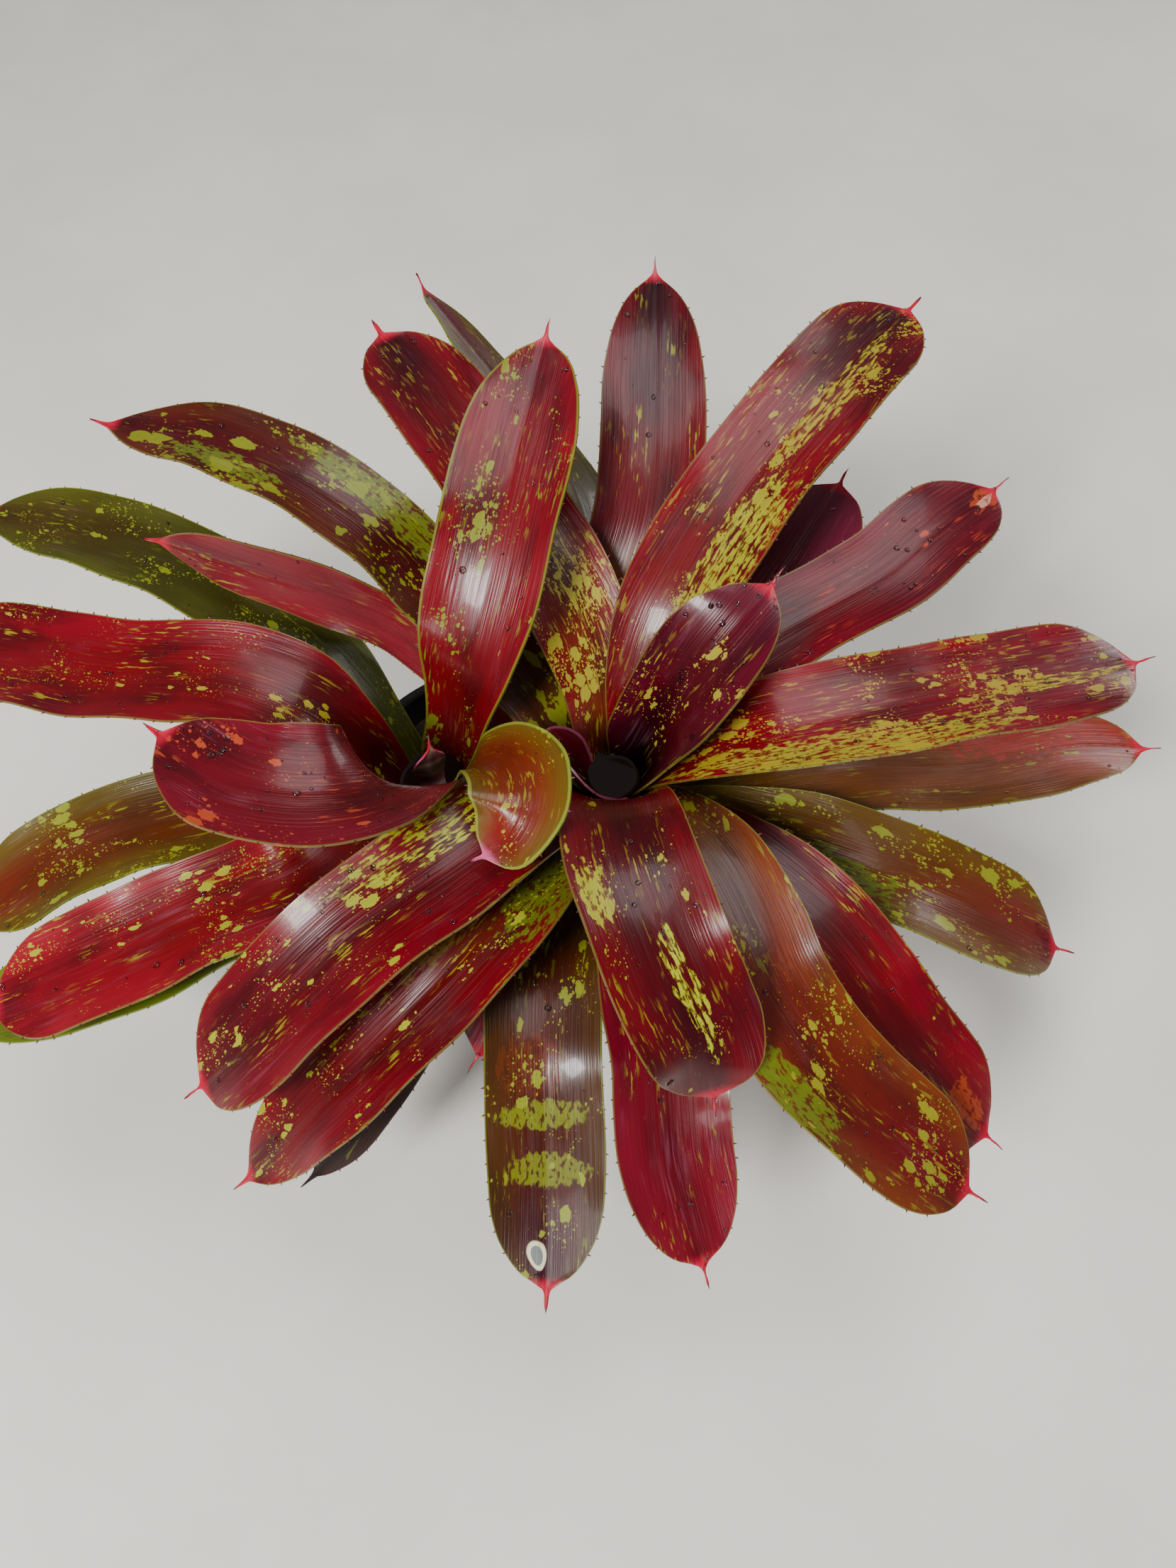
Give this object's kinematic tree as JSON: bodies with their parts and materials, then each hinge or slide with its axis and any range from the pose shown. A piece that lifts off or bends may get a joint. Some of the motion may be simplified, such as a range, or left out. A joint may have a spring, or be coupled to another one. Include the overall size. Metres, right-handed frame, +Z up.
{
  "type": "potted bromeliad",
  "caption": "Potted bromeliad with two rosettes of red, yellow-spotted strap leaves with spined tips, in a round tapered plastic nursery pot of bark mix.",
  "frame": {"origin": "centre of the pot's underside, on the surface it stands on", "axes": "+Z up along the pot's axis; +X from the smaller rosette towards the larger one; -Y towards the viewer"},
  "size_m": [0.5519, 0.4213, 0.2784],
  "materials": {
    "pot_plastic": "satin black moulded polypropylene",
    "bark_mix": "damp composted bark with perlite",
    "stem_tissue": "pale green plant tissue",
    "leaf_crimson": "glossy crimson leaf with yellow-green spots",
    "leaf_olive": "glossy olive and rust leaf with yellow-green spots",
    "leaf_dried": "dry withered leaf"
  },
  "bodies": {
    "root": {"pot": "pot_plastic", "potting_mix": "bark_mix", "right_stem": "stem_tissue", "right_leaf_01": "leaf_dried", "right_leaf_02": "leaf_olive", "right_leaf_03": "leaf_crimson", "right_leaf_04": "leaf_olive", "right_leaf_05": "leaf_crimson", "right_leaf_06": "leaf_olive", "right_leaf_07": "leaf_olive", "right_leaf_08": "leaf_crimson", "right_leaf_09": "leaf_crimson", "right_leaf_10": "leaf_crimson", "right_leaf_11": "leaf_crimson", "right_leaf_12": "leaf_crimson", "right_leaf_13": "leaf_crimson", "right_leaf_14": "leaf_crimson", "right_leaf_15": "leaf_crimson", "right_leaf_16": "leaf_crimson", "right_leaf_17": "leaf_crimson", "right_leaf_18": "leaf_crimson", "right_leaf_19": "leaf_crimson", "right_leaf_20": "leaf_crimson", "right_leaf_21": "leaf_crimson", "right_leaf_22": "leaf_crimson", "left_stem": "stem_tissue", "left_leaf_01": "leaf_olive", "left_leaf_02": "leaf_olive", "left_leaf_03": "leaf_olive", "left_leaf_04": "leaf_crimson", "left_leaf_05": "leaf_crimson", "left_leaf_06": "leaf_crimson", "left_leaf_07": "leaf_crimson", "left_leaf_08": "leaf_olive", "left_leaf_09": "leaf_crimson"}
  },
  "joints": []
}
